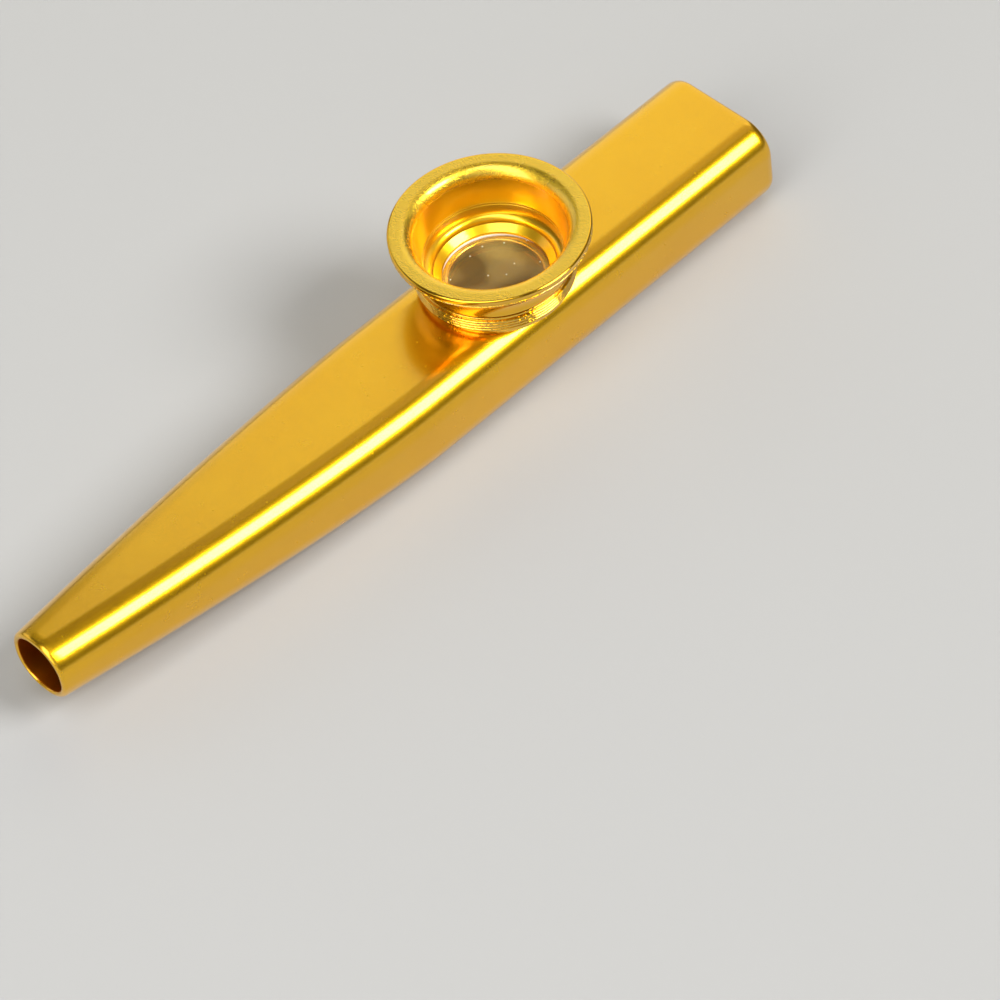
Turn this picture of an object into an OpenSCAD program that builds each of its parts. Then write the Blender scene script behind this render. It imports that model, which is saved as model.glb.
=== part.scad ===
// Metal kazoo with a screw-in cup, in millimetres.
// +X runs from the mouth to the wide end, +Z is up and the body rests on z = 0.
// The origin is on the resting face, halfway along the body.

/* [Body tube] */
// Length of the body from the mouth to the wide end
body_l = 120; // [105:1:140]
// Width of the straight part of the body
body_w = 18.6; // [17.6:0.1:24]
// Height of the straight part of the body
body_h = 12.5; // [11.4:0.1:16]
// Corner radius of the straight part of the body
body_corner_r = 4.3; // [3.4:0.1:5]
// Wall thickness of the body
body_wall = 0.85; // [0.6:0.05:1.2]
// Length of the tapered part, from the mouth
taper_l = 59; // [45:1:64]
// Width of the mouth
mouth_w = 9.3; // [7.6:0.1:11]
// Height of the mouth
mouth_h = 9.4; // [7.6:0.1:10.4]
// Height of the mouth's underside above the rest plane
mouth_rise = 3.8; // [1:0.1:5]
// How near the mouth comes to a full round
mouth_round_share = 0.94; // [0.6:0.02:0.96]
// Part of the wall that is rounded off at both ends
lip_share = 0.85; // [0.4:0.05:0.9]

/* [Turret socket] */
// Distance from the mouth to the turret's axis
turret_s = 79; // [76:0.5:95]
// Width of the seat that the membrane lies on
seat_w = 3.6; // [3:0.1:4.5]
// Thickness of the seat
seat_t = 0.45; // [0.3:0.05:0.8]
// Radius that rounds the edge of the seat's hole
seat_edge_r = 0.4; // [0.1:0.05:0.6]
// Wall thickness of the tube that rivets the socket to the body
rivet_wall = 0.6; // [0.4:0.05:0.8]
// Width of the rivet's rolled collar beyond the hole
collar_w = 0.9; // [0.4:0.05:1.1]
// Thickness of the rivet's rolled collar
collar_t = 0.5; // [0.3:0.05:0.7]
// Wall thickness of the socket, out to the beads
socket_wall = 0.75; // [0.6:0.05:1.2]
// How far the socket's foot lies inside the beads
foot_inset = 0.55; // [0.2:0.05:0.6]
// Height of the socket's foot
foot_h = 1; // [0.6:0.05:1.4]
// Radius that rounds the foot's lower edge
foot_edge_r = 0.3; // [0.1:0.05:0.5]
// Height of the beaded band
beads_h = 1.75; // [1.2:0.05:2.4]
// Number of beads
bead_count = 4; // [2:1:5]
// Height of the plain rim above the beads
rim_h = 0.4; // [0.2:0.05:0.8]
// How far the plain rim lies inside the beads
rim_inset = 0.35; // [0.1:0.05:0.45]

/* [Membrane] */
// How much wider the membrane is than the body, which its turret spans
membrane_over = 0.2; // [-0.6:0.1:1.2]
// Thickness of the paper ring
paper_t = 0.2; // [0.1:0.05:0.4]
// Thickness of the film
film_t = 0.05; // [0.05:0.01:0.1]
// How far the film stays inside the ring's edge
film_inset = 0.2; // [0:0.05:0.6]
// Width of the paper ring
paper_w = 2.2; // [1.6:0.1:2.8]
// How far the window is off the membrane's centre
window_offset = 0.55; // [0:0.05:0.9]
// Direction of that offset, in degrees from the near side
window_turn_deg = -22; // [-180:2:180]

/* [Cup] */
// Height of the cup above its shoulder
cup_h = 6; // [5.4:0.1:9]
// Width of the shoulder that stops above the socket's rim
shoulder_w = 0.45; // [0.3:0.05:0.7]
// How far the flange stands out beyond the neck
flange_w = 2.95; // [2.6:0.05:4]
// Height of the flange's outer edge
flange_t = 1.1; // [0.8:0.1:1.5]
// Radius that rounds the flange's top edge
flange_edge_r = 0.3; // [0.1:0.05:0.5]
// Radius of the curl from the flange into the bore
curl_r = 1.7; // [1.2:0.1:1.9]
// Width of the slope under the flange's edge
under_edge_w = 0.8; // [0.5:0.1:1]
// Height of the slope under the flange's edge
under_edge_h = 0.75; // [0.4:0.05:1]
// Height of the straight part of the neck
neck_h = 0.4; // [0.2:0.05:1]
// Wall thickness of the neck
neck_wall = 1; // [0.7:0.05:1.1]
// Narrowing of the bore from the curl down to the step
bore_draft = 0.75; // [0.2:0.05:0.9]
// Height of the step in the bore above the shoulder
bore_step_z = 0.7; // [0.5:0.05:1.2]
// Height of the sloping step itself
bore_step_h = 0.3; // [0.1:0.05:0.4]
// Distance between thread crests
thread_pitch = 0.75; // [0.5:0.05:1]
// Depth of the thread
thread_depth = 0.3; // [0.2:0.05:0.4]
// Wall thickness behind the thread
thread_wall = 0.45; // [0.4:0.05:0.8]
// Width of the clamping lip
lip_w = 2; // [1.3:0.05:2.4]
// Height of the clamping lip at the wall
lip_root_h = 2; // [1.4:0.05:2.3]
// Thickness of the clamping lip at its hole
lip_edge_t = 0.2; // [0.1:0.05:0.4]
// Radius of the clamping lip's rounded shoulder
lip_shoulder_r = 1; // [0.6:0.05:1.1]

/* [Clearances] */
// Radial running clearance of the thread
thread_clearance = 0.05; // [0.03:0.01:0.1]
// Radial clearance round the membrane in its pocket
pocket_clearance = 0.25; // [0.1:0.05:0.5]
// Gap between the socket's rim and the cup's shoulder
shoulder_gap = 0.15; // [0.1:0.05:0.3]
// Clearance between the rivet and the body
rivet_clearance = 0.03; // [0.02:0.01:0.05]

/* [Hidden] */
gold = [0.83, 0.62, 0.14];
paper = [0.93, 0.92, 0.9];
clear_film = [0.75, 0.75, 0.72, 0.5];
overrun = 0.5;
fn_turned = 128;
corner_steps = 12;
lip_steps = 4;
taper_steps = 20;
arc_steps = 8;
quarter = 90;
side_power_share = 1.5;
top_power_share = 1.4;
under_power_share = 1.2;

// Places along the turret's axis, from the body's top upwards
turret_x = turret_s - body_l / 2;
seat_z = body_h + seat_t;
film_top_z = seat_z + film_t;
ring_top_z = film_top_z + paper_t;
foot_top_z = body_h + foot_h;
bead_h = beads_h / bead_count;
beads_top_z = foot_top_z + beads_h;
socket_top_z = beads_top_z + rim_h;
shoulder_z = socket_top_z + shoulder_gap;
cup_top_z = shoulder_z + cup_h;
lip_root_z = ring_top_z + lip_root_h;
bore_step_foot_z = shoulder_z + bore_step_z;

// Radii, worked outwards from the membrane
membrane_r = (body_w + membrane_over) / 2;
window_r = membrane_r - paper_w;
pocket_r = membrane_r + pocket_clearance;
seat_hole_r = pocket_r - seat_w;
rivet_r = seat_hole_r + rivet_wall;
body_hole_r = rivet_r + rivet_clearance;
collar_r = rivet_r + collar_w;
bead_r = pocket_r + socket_wall;
foot_r = bead_r - foot_inset;
rim_r = bead_r - rim_inset;
thread_r = pocket_r - thread_clearance;
thread_root_r = thread_r - thread_depth;
thread_bore_r = thread_root_r - thread_wall;
lip_hole_r = thread_bore_r - lip_w;
neck_r = thread_r + shoulder_w;
flange_r = neck_r + flange_w;
bore_step_r = neck_r - neck_wall;
bore_top_r = bore_step_r + bore_draft;

// The rounded ends of the wall, and the narrow flat left inside them
end_r = body_wall * lip_share;
end_flat = body_wall - end_r;
mouth_top_rise = mouth_rise + mouth_h - body_h;
mouth_corner_r = mouth_round_share * min(mouth_w, mouth_h) / 2;

// Shape of the body at a distance s from the mouth; the taper is 1 at the mouth and 0 from taper_l on
function taper_at(s) = max(0, 1 - s / taper_l);
function width_at(s) = body_w - (body_w - mouth_w) * pow(taper_at(s), side_power_share);
function top_at(s) = body_h + mouth_top_rise * pow(taper_at(s), top_power_share);
function bottom_at(s) = mouth_rise * pow(taper_at(s), under_power_share);
function corner_at(s) = body_corner_r - (body_corner_r - mouth_corner_r) * pow(taper_at(s), under_power_share);

// Points of an arc, from one angle to another
function arc(centre, r, from, to, steps = arc_steps) =
    [for (i = [0 : steps]) let (a = from + (to - from) * i / steps)
        [centre[0] + r * cos(a), centre[1] + r * sin(a)]];

// Cross-section of the body at s, moved inwards by inset, as points in space
function body_ring(s, inset) =
    let (
        r = corner_at(s) - inset,
        half_w = width_at(s) / 2 - inset - r,
        high = top_at(s) - inset - r,
        low = bottom_at(s) + inset + r,
        corners = [[half_w, high], [-half_w, high], [-half_w, low], [half_w, low]]
    )
    [for (k = [0 : 3]) for (p = arc(corners[k], r, quarter * k, quarter * (k + 1), corner_steps))
        [s - body_l / 2, p[0], p[1]]];

// The wall's outline along the body, as pairs of distance from the mouth and inset
function taper_station(i) = end_r + (taper_l - end_r) * i / taper_steps;
function wall_outline() = concat(
    arc([end_r, end_r], end_r, 2 * quarter, 3 * quarter, lip_steps),
    [for (i = [1 : taper_steps]) [taper_station(i), 0]],
    arc([body_l - end_r, end_r], end_r, 3 * quarter, 4 * quarter, lip_steps),
    [[body_l - end_flat, body_wall]],
    [for (i = [taper_steps : -1 : 1]) [taper_station(i), body_wall]],
    [[end_flat, body_wall]]
);

// Tube shell: rings joined in a closed loop, out along the outside and back along the inside
module body_shell() {
    rings = [for (p = wall_outline()) body_ring(p[0], p[1])];
    ring_count = len(rings);
    point_count = len(rings[0]);
    faces = [
        for (i = [0 : ring_count - 1]) for (j = [0 : point_count - 1])
            let (
                this_ring = i * point_count,
                next_ring = ((i + 1) % ring_count) * point_count,
                next_point = (j + 1) % point_count
            )
            for (face = [
                [this_ring + j, this_ring + next_point, next_ring + next_point],
                [this_ring + j, next_ring + next_point, next_ring + j]
            ]) face
    ];
    polyhedron([for (ring = rings) for (p = ring) p], faces);
}

// Straight part's cross-section, moved inwards by inset, as a bar centred on the turret's axis
module body_bar(inset, length) {
    r = body_corner_r - inset;
    half_w = body_w / 2 - inset - r;
    low = inset + r;
    high = body_h - inset - r;
    rotate([quarter, 0, quarter])
        translate([0, 0, -length / 2])
            linear_extrude(length) {
                translate([-half_w, inset]) square([2 * half_w, body_h - 2 * inset]);
                translate([-half_w - r, low]) square([2 * (half_w + r), high - low]);
                for (y = [-half_w, half_w]) for (z = [low, high])
                    translate([y, z]) circle(r, $fn = fn_turned);
            }
}

// Places its children on the turret's axis
module on_turret() {
    translate([turret_x, 0, 0]) children();
}

module body_tube() {
    color(gold)
        difference() {
            body_shell();
            on_turret() translate([0, 0, body_h / 2]) cylinder(h = body_h, r = body_hole_r, $fn = fn_turned);
        }
}

// Half section of the socket: rivet tube, foot, beads, rim, thread bore and seat
function socket_outline() = concat(
    [[rivet_r, body_h / 2], [rivet_r, body_h]],
    arc([foot_r - foot_edge_r, body_h + foot_edge_r], foot_edge_r, 3 * quarter, 4 * quarter),
    [[foot_r, foot_top_z]],
    [for (i = [0 : bead_count - 1])
        for (p = arc([bead_r - bead_h / 2, foot_top_z + (i + 1 / 2) * bead_h], bead_h / 2, -quarter, quarter)) p],
    [[rim_r, beads_top_z], [rim_r, socket_top_z], [pocket_r, socket_top_z], [pocket_r, seat_z]],
    arc([seat_hole_r + seat_edge_r, seat_z - seat_edge_r], seat_edge_r, quarter, 2 * quarter),
    [[seat_hole_r, body_h / 2]]
);

// Collar that is rolled out under the body's wall, before its underside is cut
module rivet_collar() {
    difference() {
        translate([0, 0, body_h / 2]) cylinder(h = body_h / 2, r = collar_r, $fn = fn_turned);
        cylinder(h = body_h + overrun, r = rivet_r - rivet_wall / 2, $fn = fn_turned);
    }
}

module turret_socket() {
    color(gold)
        on_turret() difference() {
            union() {
                rotate_extrude($fn = fn_turned) polygon(socket_outline());
                intersection() {
                    rivet_collar();
                    body_bar(body_wall + rivet_clearance, 2 * collar_r + overrun);
                }
            }
            body_bar(body_wall + rivet_clearance + collar_t, 2 * collar_r + 2 * overrun);
        }
}

// Thread crests on the cup, as rings from the lip up to the shoulder
function thread_outline() =
    let (flank = thread_depth / 2, turns = floor((shoulder_z - ring_top_z) / thread_pitch))
    [for (i = [0 : turns - 1]) let (z = ring_top_z + i * thread_pitch) for (p = [
        [thread_root_r, z + flank],
        [thread_r, z + 2 * flank],
        [thread_r, z + thread_pitch - 2 * flank],
        [thread_root_r, z + thread_pitch - flank]
    ]) p];

// The neck's outside: an arc that flares out to the slope under the flange's edge
function neck_flare() =
    let (
        start_z = shoulder_z + neck_h,
        reach = flange_w - under_edge_w,
        rise = cup_top_z - flange_t - under_edge_h - start_z,
        r = (reach * reach + rise * rise) / (2 * reach)
    )
    arc([neck_r + r, start_z], r, 2 * quarter, 2 * quarter - 2 * atan(reach / rise));

// Half section of the cup
function cup_outline() = concat(
    [[lip_hole_r, ring_top_z], [thread_root_r, ring_top_z]],
    thread_outline(),
    [[thread_root_r, shoulder_z], [neck_r, shoulder_z]],
    neck_flare(),
    [[flange_r, cup_top_z - flange_t]],
    arc([flange_r - flange_edge_r, cup_top_z - flange_edge_r], flange_edge_r, 0, quarter),
    arc([bore_top_r + curl_r, cup_top_z - curl_r], curl_r, quarter, 2 * quarter),
    [[bore_step_r, bore_step_foot_z + bore_step_h], [thread_bore_r, bore_step_foot_z]],
    arc([thread_bore_r, lip_root_z - lip_shoulder_r], lip_shoulder_r, quarter, 2 * quarter),
    [[lip_hole_r, ring_top_z + lip_edge_t]]
);

module turret_cup() {
    color(gold)
        on_turret() rotate_extrude($fn = fn_turned) polygon(cup_outline());
}

module membrane_ring() {
    color(paper)
        on_turret() translate([0, 0, film_top_z]) difference() {
            cylinder(h = paper_t, r = membrane_r, $fn = fn_turned);
            rotate([0, 0, window_turn_deg]) translate([0, -window_offset, -overrun])
                cylinder(h = paper_t + 2 * overrun, r = window_r, $fn = fn_turned);
        }
}

module membrane_film() {
    color(clear_film)
        on_turret() translate([0, 0, seat_z])
            cylinder(h = film_t, r = membrane_r - film_inset, $fn = fn_turned);
}

body_tube();
turret_socket();
turret_cup();
membrane_ring();
membrane_film();
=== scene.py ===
import math

import bmesh
import bpy
import numpy as np
from mathutils import Matrix, Vector


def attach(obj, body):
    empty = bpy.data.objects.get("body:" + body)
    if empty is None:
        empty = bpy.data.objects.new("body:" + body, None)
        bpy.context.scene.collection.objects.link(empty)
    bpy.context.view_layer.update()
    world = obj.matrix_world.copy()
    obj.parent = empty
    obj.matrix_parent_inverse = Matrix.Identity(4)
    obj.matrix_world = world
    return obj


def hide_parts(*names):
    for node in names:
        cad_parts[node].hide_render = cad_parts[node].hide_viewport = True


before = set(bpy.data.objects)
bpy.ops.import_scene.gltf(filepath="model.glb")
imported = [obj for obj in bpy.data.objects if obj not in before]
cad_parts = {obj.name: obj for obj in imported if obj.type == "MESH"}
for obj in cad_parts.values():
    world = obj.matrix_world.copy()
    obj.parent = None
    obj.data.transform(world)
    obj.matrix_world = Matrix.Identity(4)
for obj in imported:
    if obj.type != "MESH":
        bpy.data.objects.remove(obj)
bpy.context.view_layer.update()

MM = 0.001

# Driving dimensions of the tube, in millimetres, as in the part's own source
BODY_L = 120
BODY_W = 18.6
BODY_H = 12.5
BODY_CORNER_R = 4.3
BODY_WALL = 0.85
TAPER_L = 59
MOUTH_W = 9.3
MOUTH_H = 9.4
MOUTH_RISE = 3.8
SIDE_POWER = 1.5
TOP_POWER = 1.4
UNDER_POWER = 1.2

# Driving dimensions of the socket, whose axis is the turret's
TURRET_S = 79
SEAT_W = 3.6
SEAT_T = 0.45
SEAT_EDGE_R = 0.4
RIVET_WALL = 0.6
RIVET_CLEARANCE = 0.03
COLLAR_W = 0.9
COLLAR_T = 0.5
SOCKET_WALL = 0.75
FOOT_INSET = 0.55
FOOT_H = 1
FOOT_EDGE_R = 0.3
BEADS_H = 1.75
BEAD_COUNT = 4
RIM_H = 0.4
RIM_INSET = 0.35

# Driving dimensions of the membrane
MEMBRANE_OVER = 0.2
PAPER_T = 0.2
FILM_T = 0.05

# Driving dimensions of the cup
POCKET_CLEARANCE = 0.25
CUP_H = 6
SHOULDER_W = 0.45
SHOULDER_GAP = 0.15
FLANGE_W = 2.95
FLANGE_T = 1.1
FLANGE_EDGE_R = 0.3
CURL_R = 1.7
UNDER_EDGE_W = 0.8
UNDER_EDGE_H = 0.75
NECK_H = 0.4
NECK_WALL = 1
BORE_DRAFT = 0.75
BORE_STEP_Z = 0.7
BORE_STEP_H = 0.3
THREAD_PITCH = 0.75
THREAD_DEPTH = 0.3
THREAD_WALL = 0.45
THREAD_CLEARANCE = 0.05
LIP_W = 2
LIP_ROOT_H = 2
LIP_EDGE_T = 0.2
LIP_SHOULDER_R = 1

# Places and heights that follow from them
TURRET_X = TURRET_S - BODY_L / 2
SEAT_Z = BODY_H + SEAT_T
RING_TOP_Z = SEAT_Z + FILM_T + PAPER_T
FOOT_TOP_Z = BODY_H + FOOT_H
BEAD_H = BEADS_H / BEAD_COUNT
BEADS_TOP_Z = FOOT_TOP_Z + BEADS_H
SOCKET_TOP_Z = BEADS_TOP_Z + RIM_H
SHOULDER_Z = SOCKET_TOP_Z + SHOULDER_GAP
CUP_TOP_Z = SHOULDER_Z + CUP_H
BURR_Z = CUP_TOP_Z - FLANGE_T
LIP_ROOT_Z = RING_TOP_Z + LIP_ROOT_H
BORE_STEP_FOOT_Z = SHOULDER_Z + BORE_STEP_Z
TUBE_INSIDE_Z = BODY_H - BODY_WALL

# Radii that follow from them. The flange stays a hair inside the solid's flange, whose mesh has flats.
MESH_HAIR = 0.01
MEMBRANE_R = (BODY_W + MEMBRANE_OVER) / 2
POCKET_R = MEMBRANE_R + POCKET_CLEARANCE
SEAT_HOLE_R = POCKET_R - SEAT_W
RIVET_R = SEAT_HOLE_R + RIVET_WALL
COLLAR_R = RIVET_R + COLLAR_W
BEAD_R = POCKET_R + SOCKET_WALL
FOOT_R = BEAD_R - FOOT_INSET
RIM_R = BEAD_R - RIM_INSET
THREAD_R = POCKET_R - THREAD_CLEARANCE
THREAD_ROOT_R = THREAD_R - THREAD_DEPTH
THREAD_BORE_R = THREAD_ROOT_R - THREAD_WALL
LIP_HOLE_R = THREAD_BORE_R - LIP_W
NECK_R = THREAD_R + SHOULDER_W
FLANGE_R = NECK_R + FLANGE_W - MESH_HAIR
BORE_STEP_R = NECK_R - NECK_WALL
BORE_TOP_R = BORE_STEP_R + BORE_DRAFT

# Forms that the visual model has alone, or a little finer than the source, in millimetres
MOUTH_CORNER_R = 4.37
END_ROUND_SHARE = 0.6
WIDE_END_L = 1.3
SMALL_EDGE = 0.12
RIM_EDGE_R = 0.1
FOOT_GROOVE_H = 0.05
RIVET_RISE = 0.6
ROLL_W = 0.25
BURR_R = 0.1
BURR_BAND = 0.25
HOLLOW_DEPTH = 0.13
HOLLOW_FOOT_H = 0.27
HOLLOW_TOP_DEPTH = 0.12
HOLLOW_TOP_H = 0.5
LEDGE_COUNT = 2
LEDGE_EDGE_W = 0.03
LEDGE_EDGE_H = 0.04
LEDGE_TREAD_W = 0.09
LEDGE_TREAD_DROP = 0.02
STEP_FOOT_DROP = 0.1

# The thread's form and how it fades out at its ends, in millimetres where they are lengths
THREAD_STEEPNESS = 2.2
THREAD_ROOT_SHARE = 0.2
THREAD_ROUNDING = 0.8
GROOVE_DEPTH = 0.22
SKIRT_FADE_L = 0.35
BORE_FADE_L = 0.25
BORE_THREAD_START = 0.4

# Tool chatter: its depths in millimetres, and each wave's count round the edge and share of the phase
EDGE_CHATTER = 0.09
BEAD_CHATTER = 0.06
CHATTER_WAVES = ((53, 1), (89, 2.3), (131, -1))

# Fineness of the meshes
TURNS = 288
CORNER_STEPS = 20
TAPER_STEPS = 56
STRAIGHT_STEPS = 30
END_STEPS = 6
CURL_STEPS = 20
FACE_STEPS = 6
SKIRT_ROWS = 44
SOCKET_BORE_ROWS = 40

# Edges sharper than these angles, in degrees, are shaded as edges
TUBE_SHARP = 35
TURNED_SHARP = 24
COLLAR_SHARP = 30


def make_camera():
    """The camera of the photograph, solved in the part's own frame."""
    aim = Vector((-0.00021, -0.01825, 0))
    distance = 0.64423
    azimuth = math.radians(-128.4985)
    elevation = math.radians(48.9809)
    roll = math.radians(-8.4224)
    away = Vector((
        math.cos(elevation) * math.cos(azimuth),
        math.cos(elevation) * math.sin(azimuth),
        math.sin(elevation),
    ))
    data = bpy.data.cameras.new("camera")
    data.sensor_width = 36
    data.lens = 185.38
    data.clip_start = 0.01
    camera = bpy.data.objects.new("camera", data)
    bpy.context.collection.objects.link(camera)
    camera.rotation_mode = "QUATERNION"
    upright = (-away).to_track_quat("-Z", "Y").to_matrix()
    camera.matrix_world = Matrix.Translation(aim + away * distance) @ (
        upright @ Matrix.Rotation(roll, 3, "Z")).to_4x4()
    bpy.context.scene.camera = camera


def arc(centre, radius, start, end, steps):
    """Points of an arc in the plane, from one angle to another in degrees."""
    angles = np.radians(np.linspace(start, end, steps + 1))
    return [(centre[0] + radius * math.cos(a), centre[1] + radius * math.sin(a)) for a in angles]


def mesh_piece(name, verts, faces, body, node):
    """A mesh object, made from points in millimetres, that stands for a CAD node."""
    mesh = bpy.data.meshes.new(name)
    mesh.from_pydata([tuple(v) for v in np.asarray(verts) * MM], [], faces)
    mesh.validate()
    bm = bmesh.new()
    bm.from_mesh(mesh)
    bmesh.ops.recalc_face_normals(bm, faces=bm.faces)
    bm.to_mesh(mesh)
    bm.free()
    piece = bpy.data.objects.new(name, mesh)
    bpy.context.collection.objects.link(piece)
    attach(piece, body)
    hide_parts(node)
    return piece


def shade(piece, sharp_degrees):
    """Smooth shading, broken at edges sharper than the given angle."""
    for polygon in piece.data.polygons:
        polygon.use_smooth = True
    bm = bmesh.new()
    bm.from_mesh(piece.data)
    for edge in bm.edges:
        if len(edge.link_faces) == 2:
            edge.smooth = edge.calc_face_angle(0) < math.radians(sharp_degrees)
    bm.to_mesh(piece.data)
    bm.free()


def closed_grid(rows, columns):
    """Faces of a grid of points that closes on itself both ways."""
    faces = []
    for i in range(rows):
        for j in range(columns):
            here = i * columns
            after = ((i + 1) % rows) * columns
            k = (j + 1) % columns
            faces.append((here + j, here + k, after + k, after + j))
    return faces


def round_turret(radius, turn):
    """Place in plan of a point at a radius from the turret's axis, and at one of its turns."""
    angle = 2 * math.pi * turn / TURNS
    return TURRET_X + radius * math.cos(angle), radius * math.sin(angle)


def lathe(name, outline, body, node, thread):
    """Turns a closed half section of (radius, height) about the turret's axis.
    thread is a function of (radius, height, angle) that returns the moved radius."""
    verts = []
    for radius, height in outline:
        for j in range(TURNS):
            moved = thread(radius, height, 2 * math.pi * j / TURNS)
            verts.append((*round_turret(moved, j), height))
    piece = mesh_piece(name, verts, closed_grid(len(outline), TURNS), body, node)
    shade(piece, TURNED_SHARP)
    return piece


def taper_at(s):
    """1 at the mouth, falling to 0 where the straight part starts."""
    return max(0.0, 1 - s / TAPER_L)


def top_and_underside(s):
    """Heights of the body's top and underside at s from the mouth."""
    t = taper_at(s)
    top = BODY_H + (MOUTH_RISE + MOUTH_H - BODY_H) * t ** TOP_POWER
    return top, MOUTH_RISE * t ** UNDER_POWER


def body_ring(s, inset):
    """Cross-section of the body at s from the mouth, moved inwards by inset."""
    t = taper_at(s)
    top, underside = top_and_underside(s)
    radius = BODY_CORNER_R - (BODY_CORNER_R - MOUTH_CORNER_R) * t ** UNDER_POWER - inset
    half_w = (BODY_W - (BODY_W - MOUTH_W) * t ** SIDE_POWER) / 2 - inset - radius
    high = top - inset - radius
    low = underside + inset + radius
    corners = [(half_w, high), (-half_w, high), (-half_w, low), (half_w, low)]
    ring = []
    for k, corner in enumerate(corners):
        for y, z in arc(corner, radius, 90 * k, 90 * (k + 1), CORNER_STEPS):
            ring.append((s - BODY_L / 2, y, z))
    return ring


def wide_end(depth):
    """The outer edge of the wide end, drawn in by a depth over a longer stretch."""
    quarter = arc((0, depth), depth, 270, 360, 2 * END_STEPS)
    return [(BODY_L - WIDE_END_L + along * WIDE_END_L / depth, inset) for along, inset in quarter]


def body_outline():
    """The wall's outline along the body, as pairs of distance from the mouth and inset."""
    outer_r = BODY_WALL * END_ROUND_SHARE
    inner_r = BODY_WALL - outer_r
    taper = [outer_r + (TAPER_L - outer_r) * i / TAPER_STEPS for i in range(1, TAPER_STEPS + 1)]
    straight = list(np.linspace(TAPER_L, BODY_L - WIDE_END_L, STRAIGHT_STEPS)[1:-1])
    run = taper + straight
    outline = arc((outer_r, outer_r), outer_r, 180, 270, END_STEPS)
    outline += [(s, 0) for s in run]
    outline += wide_end(outer_r)
    outline += arc((BODY_L - inner_r, BODY_WALL - inner_r), inner_r, 0, 90, END_STEPS)
    outline += [(s, BODY_WALL) for s in reversed(run)]
    outline += arc((inner_r, BODY_WALL - inner_r), inner_r, 90, 180, END_STEPS)
    return outline


def cut(piece, cutter):
    """Takes the cutter's shape out of the piece, and removes the cutter."""
    modifier = piece.modifiers.new("cut", "BOOLEAN")
    modifier.operation = "DIFFERENCE"
    modifier.solver = "EXACT"
    modifier.object = cutter
    depsgraph = bpy.context.evaluated_depsgraph_get()
    mesh = bpy.data.meshes.new_from_object(piece.evaluated_get(depsgraph))
    piece.modifiers.clear()
    piece.data = mesh
    bpy.data.objects.remove(cutter)


def cylinder(radius, low, high):
    """A plain cylinder on the turret's axis, used as a cutter."""
    bm = bmesh.new()
    bmesh.ops.create_cone(
        bm, cap_ends=True, segments=TURNS, radius1=radius * MM, radius2=radius * MM,
        depth=(high - low) * MM,
        matrix=Matrix.Translation((TURRET_X * MM, 0, (low + high) / 2 * MM)))
    mesh = bpy.data.meshes.new("cutter")
    bm.to_mesh(mesh)
    bm.free()
    piece = bpy.data.objects.new("cutter", mesh)
    bpy.context.collection.objects.link(piece)
    return piece


def make_tube():
    """The hollow tube, with the turret's hole cut from its middle height up through its top wall."""
    rings = [body_ring(s, inset) for s, inset in body_outline()]
    verts = [point for ring in rings for point in ring]
    faces = closed_grid(len(rings), len(rings[0]))
    piece = mesh_piece("tube_shell", verts, faces, "body", "body_tube")
    middle = BODY_H / 2
    cut(piece, cylinder(RIVET_R + RIVET_CLEARANCE, middle, BODY_H + middle))
    shade(piece, TUBE_SHARP)
    return piece


def dull_and_paint_shade_inside(tube):
    """Gives the second material to the tube's inside, which faces its own middle line.
    Its darker, redder gold is painted shade.
    """
    end_slant = 0.5
    for polygon in tube.data.polygons:
        centre = polygon.center / MM
        middle = Vector((centre.x, 0, sum(top_and_underside(centre.x + BODY_L / 2)) / 2))
        if polygon.normal.dot(centre - middle) < 0 and abs(polygon.normal.x) < end_slant:
            polygon.material_index = 1


def helix_share(height, angle):
    """0 at a thread's root and 1 at its crest, on a right-hand helix."""
    phase = (height / THREAD_PITCH - angle / (2 * math.pi)) % 1
    flank = THREAD_STEEPNESS * min(phase, 1 - phase) - THREAD_ROOT_SHARE
    return min(1.0, max(0.0, flank)) ** THREAD_ROUNDING


def fade(height, low, high, length):
    """1 between low and high, falling to 0 within a length of either."""
    return max(0.0, min(1.0, (height - low) / length, (high - height) / length))


def chatter(angle, phase):
    """An uneven ripple between 0 and 1 round a turned edge, as a shaking tool leaves."""
    ripple = sum(math.sin(count * angle + share * phase) for count, share in CHATTER_WAVES)
    return 0.5 + ripple / (2 * len(CHATTER_WAVES))


def cup_thread(radius, height, angle):
    """Raises the helical thread on the cup's skirt, and chatters the edge under the flange."""
    if abs(height - BURR_Z) < BURR_BAND and radius > FLANGE_R - BURR_R:
        return radius - EDGE_CHATTER * chatter(angle, height)
    if radius != THREAD_ROOT_R:
        return radius
    rise = helix_share(height, angle) * fade(height, RING_TOP_Z, SHOULDER_Z, SKIRT_FADE_L)
    return radius + THREAD_DEPTH * rise


def socket_thread(radius, height, angle):
    """Sinks the matching helical groove into the socket's bore, and chatters the beads outside."""
    if FOOT_TOP_Z < height < BEADS_TOP_Z and radius > RIM_R:
        return radius - BEAD_CHATTER * chatter(angle, int((height - FOOT_TOP_Z) / BEAD_H))
    if radius != POCKET_R:
        return radius
    start = SEAT_Z + BORE_THREAD_START
    return radius + GROOVE_DEPTH * helix_share(height, angle) * fade(height, start, SOCKET_TOP_Z, BORE_FADE_L)


def run_of(radius, low, high, rows):
    """A straight run of points at one radius, close enough together to carry a thread."""
    return [(radius, z) for z in np.linspace(low, high, rows)]


def neck_flare():
    """The neck's hollow curve, which starts upright and ends under the flange's edge."""
    start = SHOULDER_Z + NECK_H
    reach = FLANGE_R - NECK_R - UNDER_EDGE_W
    rise = BURR_Z - UNDER_EDGE_H - start
    radius = (reach ** 2 + rise ** 2) / (2 * reach)
    end = 180 - 2 * math.degrees(math.atan(reach / rise))
    return arc((NECK_R + radius, start), radius, 180, end, CURL_STEPS)


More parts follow.
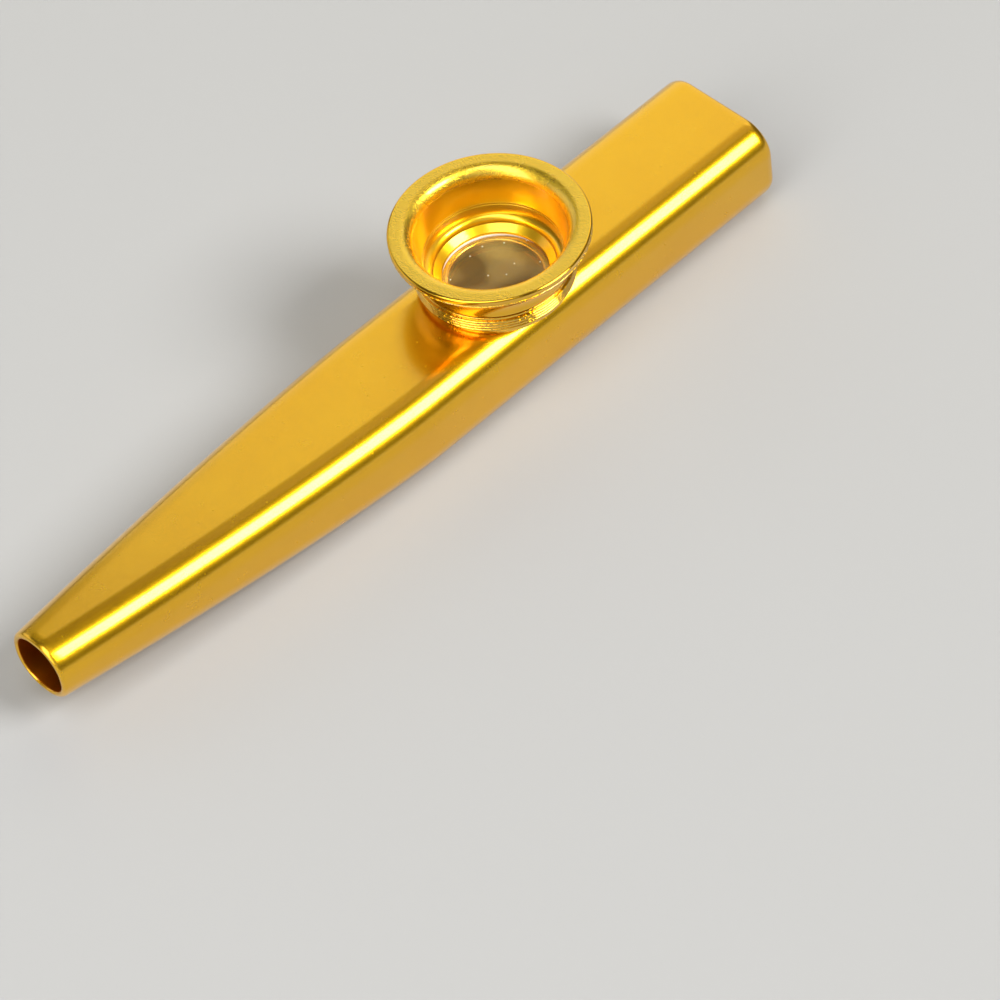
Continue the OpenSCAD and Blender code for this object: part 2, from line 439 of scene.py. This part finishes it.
def flange_rim():
    """The flange's edge: a sharp burr, a shallow hollow above it, and the rounded top edge."""
    outline = arc((FLANGE_R - BURR_R, BURR_Z + BURR_R), BURR_R, 315, 430, steps=5)
    outline += [(FLANGE_R - HOLLOW_DEPTH, BURR_Z + HOLLOW_FOOT_H)]
    outline += [(FLANGE_R - HOLLOW_TOP_DEPTH, BURR_Z + HOLLOW_TOP_H)]
    edge_centre = (FLANGE_R - FLANGE_EDGE_R, CUP_TOP_Z - FLANGE_EDGE_R)
    return outline + arc(edge_centre, FLANGE_EDGE_R, 15, 90, steps=8)


def bore_ledges():
    """The fine ledges by which the cup's bore steps in."""
    outline = []
    for k in range(LEDGE_COUNT):
        ledge = BORE_STEP_R - k * (BORE_STEP_R - THREAD_BORE_R) / LEDGE_COUNT
        low = BORE_STEP_FOOT_Z + BORE_STEP_H * (LEDGE_COUNT - 1 - k)
        outline += [(ledge, low + LEDGE_EDGE_H), (ledge - LEDGE_EDGE_W, low)]
        outline += [(ledge - LEDGE_TREAD_W, low - LEDGE_TREAD_DROP)]
    return outline + [(THREAD_BORE_R, BORE_STEP_FOOT_Z - STEP_FOOT_DROP)]


def make_cup():
    """The cup, from the foot of its lip up the outside and down the bore."""
    lip_edge_z = RING_TOP_Z + LIP_EDGE_T
    curl_start = BORE_TOP_R + CURL_R
    face = np.linspace(FLANGE_R - FLANGE_EDGE_R, curl_start, FACE_STEPS)[1:-1]
    outline = [(LIP_HOLE_R, RING_TOP_Z)]
    outline += run_of(THREAD_ROOT_R, RING_TOP_Z, SHOULDER_Z, SKIRT_ROWS)
    outline += arc((NECK_R - SMALL_EDGE, SHOULDER_Z + SMALL_EDGE), SMALL_EDGE, 270, 360, steps=4)
    outline += neck_flare()
    outline += flange_rim()
    outline += [(r, CUP_TOP_Z) for r in face]
    outline += arc((curl_start, CUP_TOP_Z - CURL_R), CURL_R, 90, 180, CURL_STEPS)
    outline += bore_ledges()
    outline += arc((THREAD_BORE_R, LIP_ROOT_Z - LIP_SHOULDER_R), LIP_SHOULDER_R, 90, 180, steps=14)
    outline += [(LIP_HOLE_R + SMALL_EDGE / 2, lip_edge_z + SMALL_EDGE), (LIP_HOLE_R, lip_edge_z)]
    return lathe("flared_cup", outline, "cup", "turret_cup", cup_thread)


def bead_outline():
    """Outside of the socket: a row of fine beads, and a plain rim above them."""
    outline = []
    radius = BEAD_H / 2
    for i in range(BEAD_COUNT):
        centre = (BEAD_R - radius, FOOT_TOP_Z + (2 * i + 1) * radius)
        outline += arc(centre, radius, -80, 80, steps=8)
    outline += [(RIM_R, BEADS_TOP_Z)]
    return outline + arc((RIM_R - RIM_EDGE_R, SOCKET_TOP_Z - RIM_EDGE_R), RIM_EDGE_R, 0, 90, steps=4)


def make_socket():
    """The socket, from its tube in the body's hole up the outside and down the bore."""
    outline = [(RIVET_R, TUBE_INSIDE_Z), (RIVET_R, BODY_H)]
    outline += arc((FOOT_R - FOOT_EDGE_R, BODY_H + FOOT_EDGE_R), FOOT_EDGE_R, 270, 360, steps=6)
    outline += [(FOOT_R, FOOT_TOP_Z - FOOT_GROOVE_H)]
    outline += bead_outline()
    outline += run_of(POCKET_R, SOCKET_TOP_Z, SEAT_Z, SOCKET_BORE_ROWS)
    outline += arc((SEAT_HOLE_R + SEAT_EDGE_R, SEAT_Z - SEAT_EDGE_R), SEAT_EDGE_R, 90, 180, steps=8)
    outline += [(SEAT_HOLE_R, TUBE_INSIDE_Z)]
    return lathe("beaded_socket", outline, "body", "turret_socket", socket_thread)


def tube_inside_z(y):
    """Height of the inside of the tube's top wall, less the rivet's clearance, at y from the middle."""
    inner_r = BODY_CORNER_R - BODY_WALL - RIVET_CLEARANCE
    past_flat = max(0.0, abs(y) - (BODY_W / 2 - BODY_CORNER_R))
    top = TUBE_INSIDE_Z - RIVET_CLEARANCE
    return top - inner_r + math.sqrt(max(0.0, inner_r ** 2 - past_flat ** 2))


def make_collar():
    """The rivet's tube and rolled collar, which follow the inside of the tube's wall.
    Its rows are pairs of a radius and a drop below that inside."""
    edge_r = COLLAR_R - SMALL_EDGE
    rows = [(r, COLLAR_T) for r in (SEAT_HOLE_R, RIVET_R, RIVET_R + ROLL_W, edge_r)]
    rows += [(COLLAR_R, COLLAR_T - SMALL_EDGE), (COLLAR_R, SMALL_EDGE), (edge_r, 0), (RIVET_R, 0)]
    rows += [(RIVET_R, -RIVET_RISE), (SEAT_HOLE_R, -RIVET_RISE)]
    verts = []
    for radius, drop in rows:
        for j in range(TURNS):
            x, y = round_turret(radius, j)
            verts.append((x, y, tube_inside_z(y) - drop))
    faces = closed_grid(len(rows), TURNS)
    piece = mesh_piece("rolled_collar", verts, faces, "body", "turret_socket")
    shade(piece, COLLAR_SHARP)
    return piece


class Nodes:
    """Short way to write a material's node tree."""

    def __init__(self, name):
        self.material = bpy.data.materials.new(name)
        self.material.use_nodes = True
        self.tree = self.material.node_tree
        self.shader = self.tree.nodes["Principled BSDF"]
        self.place = self.add("ShaderNodeTexCoord").outputs["Object"]

    def add(self, kind, **values):
        node = self.tree.nodes.new(kind)
        for key, value in values.items():
            setattr(node, key, value)
        return node

    def link(self, source, socket):
        self.tree.links.new(source, socket)

    def feed(self, socket, value):
        """Links an output to the socket, or sets the socket's own value."""
        if isinstance(value, bpy.types.NodeSocket):
            self.link(value, socket)
        else:
            socket.default_value = value

    def math(self, operation, a, b=0.0, clamp=False):
        node = self.add("ShaderNodeMath", operation=operation, use_clamp=clamp)
        self.feed(node.inputs[0], a)
        self.feed(node.inputs[1], b)
        return node.outputs[0]

    def scaled(self, vector, scale):
        node = self.add("ShaderNodeMapping", vector_type="POINT")
        self.link(vector, node.inputs["Vector"])
        node.inputs["Scale"].default_value = scale
        return node.outputs["Vector"]

    def noise(self, vector, scale, detail, roughness=0.55):
        node = self.add("ShaderNodeTexNoise")
        self.link(vector, node.inputs["Vector"])
        node.inputs["Scale"].default_value = scale
        node.inputs["Detail"].default_value = detail
        node.inputs["Roughness"].default_value = roughness
        return node.outputs["Fac"]

    def specks(self, vector, scale, size, flat=False):
        """1 in small round spots that lie about in the texture's cells."""
        node = self.add("ShaderNodeTexVoronoi", feature="F1", voronoi_dimensions="2D" if flat else "3D")
        self.link(vector, node.inputs["Vector"])
        node.inputs["Scale"].default_value = scale
        return self.ramp(node.outputs["Distance"], [(0, 1), (size, 0)])

    def ramp(self, value, stops):
        """Maps a value through (place, height) stops."""
        node = self.add("ShaderNodeValToRGB")
        self.link(value, node.inputs["Fac"])
        elements = node.color_ramp.elements
        for element, (place, height) in zip(elements, stops, strict=True):
            element.position = place
            element.color = (height, height, height, 1)
        return node.outputs["Color"]

    def mix(self, share, first, second):
        node = self.add("ShaderNodeMix", data_type="RGBA")
        self.feed(node.inputs[0], share)
        self.feed(node.inputs[6], first)
        self.feed(node.inputs[7], second)
        return node.outputs[2]

    def bump(self, height, distance, under=None):
        """A normal that a height field tilts, its height in metres, over an earlier bump."""
        node = self.add("ShaderNodeBump")
        node.inputs["Distance"].default_value = distance
        node.inputs["Strength"].default_value = 1
        self.link(height, node.inputs["Height"])
        if under is not None:
            self.link(under, node.inputs["Normal"])
        return node.outputs["Normal"]

    def anodise(self, coat_roughness, coat_weight):
        """Makes the shader a metal under a clear oxide layer, which whitens its highlights."""
        self.shader.inputs["Metallic"].default_value = 1
        self.shader.inputs["Coat Weight"].default_value = coat_weight
        self.shader.inputs["Coat IOR"].default_value = 1.7
        self.shader.inputs["Coat Roughness"].default_value = coat_roughness

    def around_turret(self):
        """Coordinates (arc length, radius, height) in metres about the turret's axis."""
        split = self.add("ShaderNodeSeparateXYZ")
        self.link(self.place, split.inputs[0])
        x = self.math("SUBTRACT", split.outputs[0], TURRET_X * MM)
        y = split.outputs[1]
        angle = self.math("ARCTAN2", y, x)
        radius = self.math("SQRT", self.math("ADD", self.math("MULTIPLY", x, x), self.math("MULTIPLY", y, y)))
        join = self.add("ShaderNodeCombineXYZ")
        self.link(self.math("MULTIPLY", angle, NECK_R * MM), join.inputs[0])
        self.link(radius, join.inputs[1])
        self.link(split.outputs[2], join.inputs[2])
        return join.outputs[0]


GOLD = (0.9, 0.5, 0.003, 1)
DEEP_GOLD = (0.87, 0.47, 0.002, 1)
PALE_GOLD = (0.97, 0.63, 0.045, 1)
# The bore's gold is lighter than GOLD as painted light, standing in for light that bounces round inside the
# cup.
BORE_GOLD_WITH_PAINTED_LIGHT = (0.95, 0.58, 0.014, 1)
# The tube's inside gold is darker and redder than GOLD as painted shade for the dim inside of the tube.
INSIDE_GOLD_PAINTED_SHADE = (0.74, 0.23, 0.003, 1)
PAPER_SHADE = (0.86, 0.8, 0.78, 1)
PAPER_WHITE = (0.95, 0.93, 0.92, 1)
FILM_TINT = (0.8, 0.6, 0.2, 1)
DUST_WHITE = (1, 0.97, 0.85, 1)
FLOOR_GREY = (0.47, 0.47, 0.465, 1)

# Texture scales, in cycles per metre. Triples are for x, y and z, or for round, out and up.
DRAW_LINES = (60, 5200, 5200)
TOOL_MARKS = (25, 14000, 14000)
TOOL_CHATTER = (2600, 900, 2200)
PAPER_FIBRES = (2600, 5200, 2600)
FINE_GRAIN = 11000
COARSE_GRAIN = 5200


def body_gold():
    """Satin anodised tube: fine grain, faint draw lines along it, and specks."""
    n = Nodes("anodised_satin")
    cloud = n.noise(n.place, scale=90, detail=4)
    n.feed(n.shader.inputs["Base Color"], n.mix(n.ramp(cloud, [(0.35, 0), (0.65, 1)]), DEEP_GOLD, GOLD))
    n.anodise(coat_roughness=0.15, coat_weight=0.54)
    grain = n.noise(n.place, scale=9000, detail=2)
    lines = n.noise(n.scaled(n.place, DRAW_LINES), scale=1, detail=2)
    rough = n.math("ADD", 0.24, n.math("MULTIPLY", n.noise(n.place, scale=400, detail=3), 0.05))
    pits = n.specks(n.place, scale=520, size=0.07)
    n.link(n.math("ADD", rough, n.math("MULTIPLY", pits, 0.2)), n.shader.inputs["Roughness"])
    normal = n.bump(grain, distance=0.000004)
    normal = n.bump(lines, distance=0.0000015, under=normal)
    normal = n.bump(pits, distance=0.000008, under=normal)
    n.link(normal, n.shader.inputs["Normal"])
    return n.material


def turned_gold(
        name, colour, roughness, grain_height, chatter_height, grain_scale=FINE_GRAIN, coat_weight=0.5):
    """Turned and anodised metal: rings of tool marks, a broken chatter along edges, and grain."""
    n = Nodes(name)
    around = n.around_turret()
    marks = n.noise(n.scaled(around, TOOL_MARKS), scale=1, detail=2)
    chatter_marks = n.noise(n.scaled(around, TOOL_CHATTER), scale=1, detail=2)
    grain = n.noise(n.place, grain_scale, detail=2)
    cloud = n.noise(n.place, scale=260, detail=3)
    deep = tuple(0.94 * part for part in colour[:3]) + (1,)
    n.feed(n.shader.inputs["Base Color"], n.mix(n.ramp(cloud, [(0.3, 0), (0.7, 1)]), deep, colour))
    n.anodise(coat_roughness=0.12, coat_weight=coat_weight)
    n.link(n.math("ADD", roughness, n.math("MULTIPLY", cloud, 0.06)), n.shader.inputs["Roughness"])
    normal = n.bump(marks, distance=0.000002)
    normal = n.bump(chatter_marks, chatter_height, under=normal)
    normal = n.bump(grain, grain_height, under=normal)
    n.link(normal, n.shader.inputs["Normal"])
    return n.material


def ring_paper():
    """Matt white paper with short fibres."""
    n = Nodes("paper_ring")
    fibre = n.noise(n.scaled(n.place, PAPER_FIBRES), scale=1, detail=5, roughness=0.7)
    n.feed(n.shader.inputs["Base Color"], n.mix(fibre, PAPER_SHADE, PAPER_WHITE))
    n.shader.inputs["Roughness"].default_value = 0.8
    n.link(n.bump(fibre, distance=0.00002), n.shader.inputs["Normal"])
    return n.material


def clear_film():
    """Thin clear film: nearly invisible, with a soft sheen, ripples and a few specks of dust."""
    n = Nodes("thin_film")
    dust = n.specks(n.place, scale=250, size=0.038, flat=True)
    ripple = n.noise(n.place, scale=260, detail=2)
    cloud = n.noise(n.place, scale=150, detail=1)
    haze = n.math("MULTIPLY", n.ramp(cloud, [(0.4, 0), (0.65, 1)]), 0.22)
    n.feed(n.shader.inputs["Base Color"], n.mix(dust, FILM_TINT, DUST_WHITE))
    n.shader.inputs["Roughness"].default_value = 0.12
    cover = n.math("ADD", haze, n.math("MULTIPLY", dust, 0.9))
    n.link(n.math("ADD", 0.08, cover, clamp=True), n.shader.inputs["Alpha"])
    n.link(n.bump(ripple, distance=0.00008), n.shader.inputs["Normal"])
    return n.material


def floor_paint():
    n = Nodes("pale_floor")
    n.shader.inputs["Base Color"].default_value = FLOOR_GREY
    n.shader.inputs["Roughness"].default_value = 0.9
    return n.material


def dress(piece, *materials):
    piece.data.materials.clear()
    for material in materials:
        piece.data.materials.append(material)


def grain_the_cup(cup):
    """Gives the flange's face and curl the second material, the bore the third, whose lighter gold
    is painted light, and the broken edge under the flange the fourth."""
    for polygon in cup.data.polygons:
        centre = polygon.center / MM
        from_axis = Vector((centre.x - TURRET_X, centre.y, 0))
        radius = from_axis.length
        if centre.z > CUP_TOP_Z - CURL_R and BORE_TOP_R < radius < FLANGE_R - FLANGE_EDGE_R:
            polygon.material_index = 1
        elif radius < BORE_TOP_R and polygon.normal.dot(from_axis) < 0:
            polygon.material_index = 2
        elif radius > FLANGE_R - UNDER_EDGE_W / 2 and abs(centre.z - BURR_Z) < BURR_BAND:
            polygon.material_index = 3


def dress_the_turret(cup, socket, collar):
    """Gives the turned pieces their materials: polished, beaded, grained, satin and rough gold.
    The satin bore's lighter gold is painted light.
    """
    smooth = turned_gold(
        "turned_smooth", GOLD, roughness=0.1, grain_height=0.000001, chatter_height=0.000006)
    beads = turned_gold(
        "turned_beads", GOLD, roughness=0.14, grain_height=0.000002, chatter_height=0.00006, coat_weight=1)
    grained = turned_gold(
        "flange_grain", PALE_GOLD, roughness=0.24, grain_height=0.00006, chatter_height=0.000002,
        grain_scale=COARSE_GRAIN)
    # The bore's satin roughness is its own; its lighter gold is painted light.
    bore = turned_gold(
        "bore_satin_painted_light", BORE_GOLD_WITH_PAINTED_LIGHT, roughness=0.28, grain_height=0.00001, chatter_height=0.000002,
        grain_scale=COARSE_GRAIN)
    rough_edge = turned_gold(
        "chattered_edge", GOLD, roughness=0.22, grain_height=0.000004, chatter_height=0.00025,
        coat_weight=1)
    dress(cup, smooth, grained, bore, rough_edge)
    dress(socket, beads)
    dress(collar, smooth)
    grain_the_cup(cup)


def dress_the_tube(tube):
    """Gives the tube its satin outside and its duller inside, whose darker, redder gold is painted shade."""
    # The inside's rougher finish is its own; its darker, redder gold is painted shade.
    inside = turned_gold(
        "tube_inside_painted_shade", INSIDE_GOLD_PAINTED_SHADE, roughness=0.38, grain_height=0.000006, chatter_height=0.000001)
    dress(tube, body_gold(), inside)
    dull_and_paint_shade_inside(tube)


def make_floor():
    bpy.ops.mesh.primitive_plane_add(size=6, location=(0, 0, 0))
    floor = bpy.context.object
    floor.name = "floor"
    dress(floor, floor_paint())


def area_light(name, direction, distance, size, radiance, colour=(1, 1, 1)):
    """A soft panel that faces the part from a direction, its first side along the body.
    Its distance and size are in metres, and radiance is what it shines into a mirror."""
    away = Vector(direction).normalized()
    along = (Vector((1, 0, 0)) - away * away.x).normalized()
    across = away.cross(along)
    data = bpy.data.lights.new(name, "AREA")
    data.shape = "RECTANGLE"
    data.size, data.size_y = size
    data.energy = radiance * math.pi * size[0] * size[1]
    data.color = colour
    light = bpy.data.objects.new(name, data)
    bpy.context.collection.objects.link(light)
    turn = Matrix((along, across, away)).transposed()
    light.matrix_world = Matrix.Translation(away * distance) @ turn.to_4x4()
    light.visible_camera = False


def make_world():
    """A dim warm surround."""
    world = bpy.data.worlds.new("studio")
    bpy.context.scene.world = world
    world.use_nodes = True
    background = world.node_tree.nodes["Background"]
    background.inputs["Color"].default_value = (1, 0.94, 0.88, 1)
    background.inputs["Strength"].default_value = 0.11


def make_lights():
    """Panels placed where the photographed surfaces mirror light: the near one makes the bright stripe
    along the body, the back and left ones the crown on the cup's curl, and the far and overhead ones
    light the top, and leave it darker towards the mouth."""
    area_light("near_softbox", direction=(0.34, -0.65, 0.68), distance=2.4, size=(1.0, 1.08), radiance=15.5)
    area_light("back_softbox", direction=(-0.52, -0.13, 0.84), distance=0.9, size=(1.1, 0.44), radiance=3.2)
    area_light(
        "far_panel", direction=(0.655, 0.622, 0.43), distance=0.92, size=(0.8, 1.03), radiance=0.94,
        colour=(1, 0.98, 0.75))
    area_light("behind_panel", direction=(-0.34, 0.84, 0.42), distance=0.9, size=(1.0, 0.5), radiance=0.8)
    area_light("left_panel", direction=(-0.96, -0.08, 0.22), distance=0.9, size=(0.34, 0.5), radiance=3)
    area_light("side_panel", direction=(-0.62, -0.62, 0.48), distance=1.2, size=(1.1, 0.9), radiance=0.45)
    area_light(
        "overhead_panel", direction=(0.572, 0.099, 0.814), distance=0.91, size=(0.58, 0.42), radiance=0.47,
        colour=(1, 0.86, 0.7))


make_camera()
make_world()
make_lights()
make_floor()

tube = make_tube()
cup = make_cup()
socket = make_socket()
collar = make_collar()
dress_the_turret(cup, socket, collar)
dress_the_tube(tube)
dress(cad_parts["membrane_ring"], ring_paper())
dress(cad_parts["membrane_film"], clear_film())

bpy.context.scene.view_settings.view_transform = "Standard"
